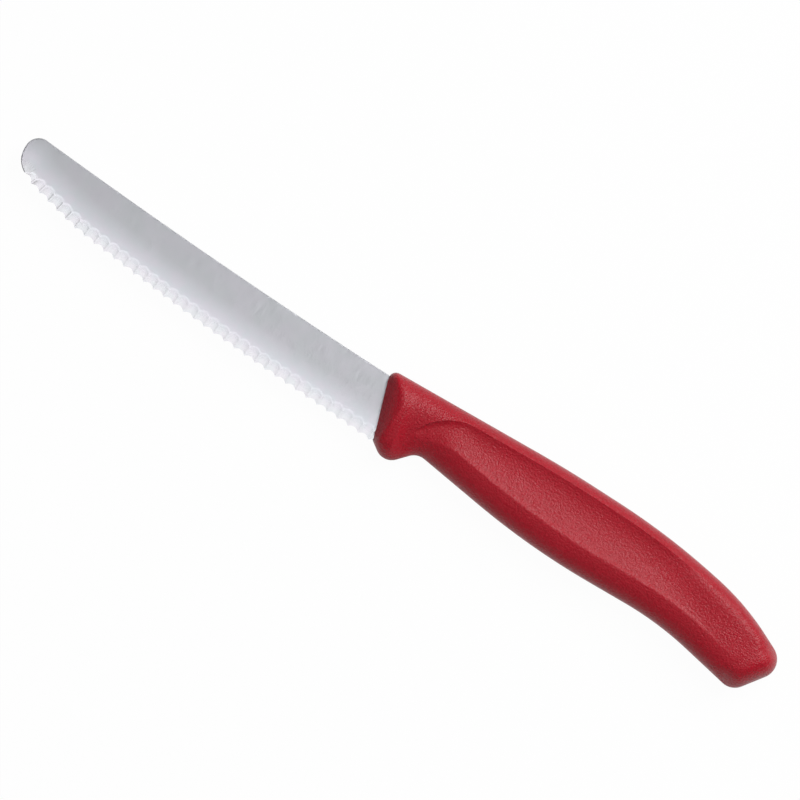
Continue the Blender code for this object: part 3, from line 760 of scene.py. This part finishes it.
def moulded_red():
    """Red plastic with the grain of a spark eroded mould, its hollows darkened by painted shade."""
    material, tree, shader = new_material("moulded_red")
    place = tree.nodes.new("ShaderNodeTexCoord").outputs["Object"]
    grain = noise(tree, place, GRAIN_SCALE, roughness=0.6)
    fine = noise(tree, place, FINE_SCALE)
    drift = noise(tree, place, DRIFT_SCALE)
    colour = blend(tree, ramp(tree, drift, *NOISE_RANGE), *RED)
    # painted shade: darker red where the grain's height is low
    colour = blend(tree, ramp(tree, grain, *GRAIN_HOLLOWS), RED_SHADE_IN_HOLLOWS, colour)
    tree.links.new(colour, shader.inputs["Base Color"])
    rough = ramp(tree, fine, *NOISE_RANGE, *RED_ROUGHNESS)
    tree.links.new(rough, shader.inputs["Roughness"])
    normal = bump(tree, grain, 1.0, GRAIN_DEPTH)
    normal = bump(tree, fine, FINE_STRENGTH, FINE_DEPTH, under=normal)
    tree.links.new(normal, shader.inputs["Normal"])
    shader.inputs["Specular IOR Level"].default_value = RED_SPECULAR
    return material


def satin_steel():
    """Stainless steel with a fine cross grind and faint clouding, bluer and lighter towards the edge:
    partly the grind's finish, partly painted reflection.
    """
    material, tree, shader = new_material("satin_steel")
    place = tree.nodes.new("ShaderNodeTexCoord").outputs["Object"]
    stretch = tree.nodes.new("ShaderNodeMapping")
    stretch.inputs["Scale"].default_value = LINE_SCALE
    tree.links.new(place, stretch.inputs["Vector"])
    lines = noise(tree, stretch.outputs["Vector"], 1.0, detail=3.0, roughness=0.6)
    cloud = noise(tree, place, CLOUD_SCALE, detail=3.0)
    patches = noise(tree, place, PATCH_SCALE)
    attribute = tree.nodes.new("ShaderNodeAttribute")
    attribute.attribute_name = "near_edge"
    edge = attribute.outputs["Fac"]
    flat = blend(tree, ramp(tree, cloud, *CLOUD_RANGE), *STEEL_FLAT)
    ground = blend(tree, ramp(tree, patches, *PATCH_RANGE), *STEEL_GROUND_AND_REFLECTION)
    fresh_and_reflection = blend(tree, ramp(tree, patches, *PATCH_RANGE), *STEEL_FRESH_AND_REFLECTION)
    # lighter towards the edge: partly the grind's finish, partly painted reflection
    colour = blend(tree, ramp(tree, edge, *GROUND_AND_REFLECTION_BAND), flat, ground)
    colour = blend(tree, ramp(tree, edge, *FRESH_AND_REFLECTION_BAND), colour, fresh_and_reflection)
    tree.links.new(colour, shader.inputs["Base Color"])
    shader.inputs["Metallic"].default_value = 1.0
    rough = ramp(tree, lines, *NOISE_RANGE, *STEEL_ROUGHNESS)
    polish = ramp(tree, edge, *FRESH_AND_REFLECTION_BAND, 1.0, FRESH_POLISH)
    tree.links.new(maths(tree, "MULTIPLY", rough, polish), shader.inputs["Roughness"])
    normal = bump(tree, lines, STEEL_BUMP, LINE_DEPTH)
    normal = bump(tree, patches, STEEL_BUMP, PATCH_DEPTH, under=normal)
    tree.links.new(normal, shader.inputs["Normal"])
    return material


def make_floor():
    """Pale floor, seen as white, that keeps a soft shadow."""
    mesh = bpy.data.meshes.new("floor")
    corners = [(x * FLOOR_REACH, y * FLOOR_REACH, 0) for x, y in ((-1, -1), (1, -1), (1, 1), (-1, 1))]
    mesh.from_pydata(corners, [], [(0, 1, 2, 3)])
    floor = bpy.data.objects.new("floor", mesh)
    bpy.context.scene.collection.objects.link(floor)
    material = bpy.data.materials.new("pale_floor")
    material.use_nodes = True
    tree = material.node_tree
    tree.nodes.clear()
    diffuse = node(tree, "ShaderNodeBsdfDiffuse", Color=(FLOOR_GREY, FLOOR_GREY, FLOOR_GREY, 1.0))
    glow = node(tree, "ShaderNodeEmission", Color=WHITE, Strength=1.0)
    seen = maths(tree, "MULTIPLY", seen_directly(tree), FLOOR_WHITENED)
    mix = tree.nodes.new("ShaderNodeMixShader")
    out = tree.nodes.new("ShaderNodeOutputMaterial")
    tree.links.new(seen, mix.inputs["Fac"])
    tree.links.new(diffuse.outputs[0], mix.inputs[1])
    tree.links.new(glow.outputs[0], mix.inputs[2])
    tree.links.new(mix.outputs[0], out.inputs["Surface"])
    mesh.materials.append(material)


def make_world():
    """White backdrop round the horizon, which reflections show too, under a dim ceiling."""
    world = bpy.data.worlds.new("studio")
    bpy.context.scene.world = world
    world.use_nodes = True
    tree = world.node_tree
    tree.nodes.clear()
    way = tree.nodes.new("ShaderNodeTexCoord").outputs["Generated"]
    split = tree.nodes.new("ShaderNodeSeparateXYZ")
    tree.links.new(way, split.inputs["Vector"])
    backdrop = ramp(tree, split.outputs["Z"], *BACKDROP_TOP, 1.0, AMBIENT)
    camera = tree.nodes.new("ShaderNodeLightPath").outputs["Is Camera Ray"]
    shown = maths(tree, "MAXIMUM", backdrop, camera)
    above = maths(tree, "SUBTRACT", shown, AMBIENT)
    level = maths(tree, "ADD", maths(tree, "MULTIPLY", above, seen_directly(tree)), AMBIENT)
    light = node(tree, "ShaderNodeBackground", Color=WHITE)
    out = tree.nodes.new("ShaderNodeOutputWorld")
    tree.links.new(level, light.inputs["Strength"])
    tree.links.new(light.outputs[0], out.inputs["Surface"])


def lamp(name, place, size, power):
    """Soft light, aimed at the middle of the knife."""
    light = bpy.data.lights.new(name, "AREA")
    light.shape = "RECTANGLE"
    light.size, light.size_y = size
    light.energy = power
    made = bpy.data.objects.new(name, light)
    made.location = place
    made.rotation_mode = "QUATERNION"
    made.rotation_quaternion = (-Vector(place)).to_track_quat("-Z", "Y")
    made.visible_camera = False
    bpy.context.scene.collection.objects.link(made)


def make_camera():
    camera = bpy.data.cameras.new("photo_view")
    camera.lens = LENS
    camera.sensor_width = SENSOR
    camera.clip_end = FAR_CLIP
    made = bpy.data.objects.new("photo_view", camera)
    centre = Vector((*PHOTO_CENTRE, 0.0)) + INTO_FRAME
    made.location = centre + Vector((0.0, 0.0, PHOTO_WIDTH * LENS / SENSOR))
    made.rotation_euler = (0.0, 0.0, math.radians(KNIFE_ANGLE))
    bpy.context.scene.collection.objects.link(made)
    bpy.context.scene.camera = made


form = HandleForm()
handle_low, handle_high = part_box("handle")
blade_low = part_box("blade")[0]
INTO_FRAME = Vector((
    blade_low[0],
    handle_high[1] - max(point.y for point in form.back),
    (handle_low[2] + handle_high[2]) / 2,
))

handle = make_handle(form)
handle.data.materials.append(moulded_red())
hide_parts("handle")
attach(handle, "root")

blade = make_blade()
blade.data.materials.append(satin_steel())
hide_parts("blade")
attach(blade, "root")

make_floor()
make_world()
lamp("key", *KEY_LAMP)
lamp("fill", *FILL_LAMP)
make_camera()
bpy.context.scene.view_settings.view_transform = "Standard"
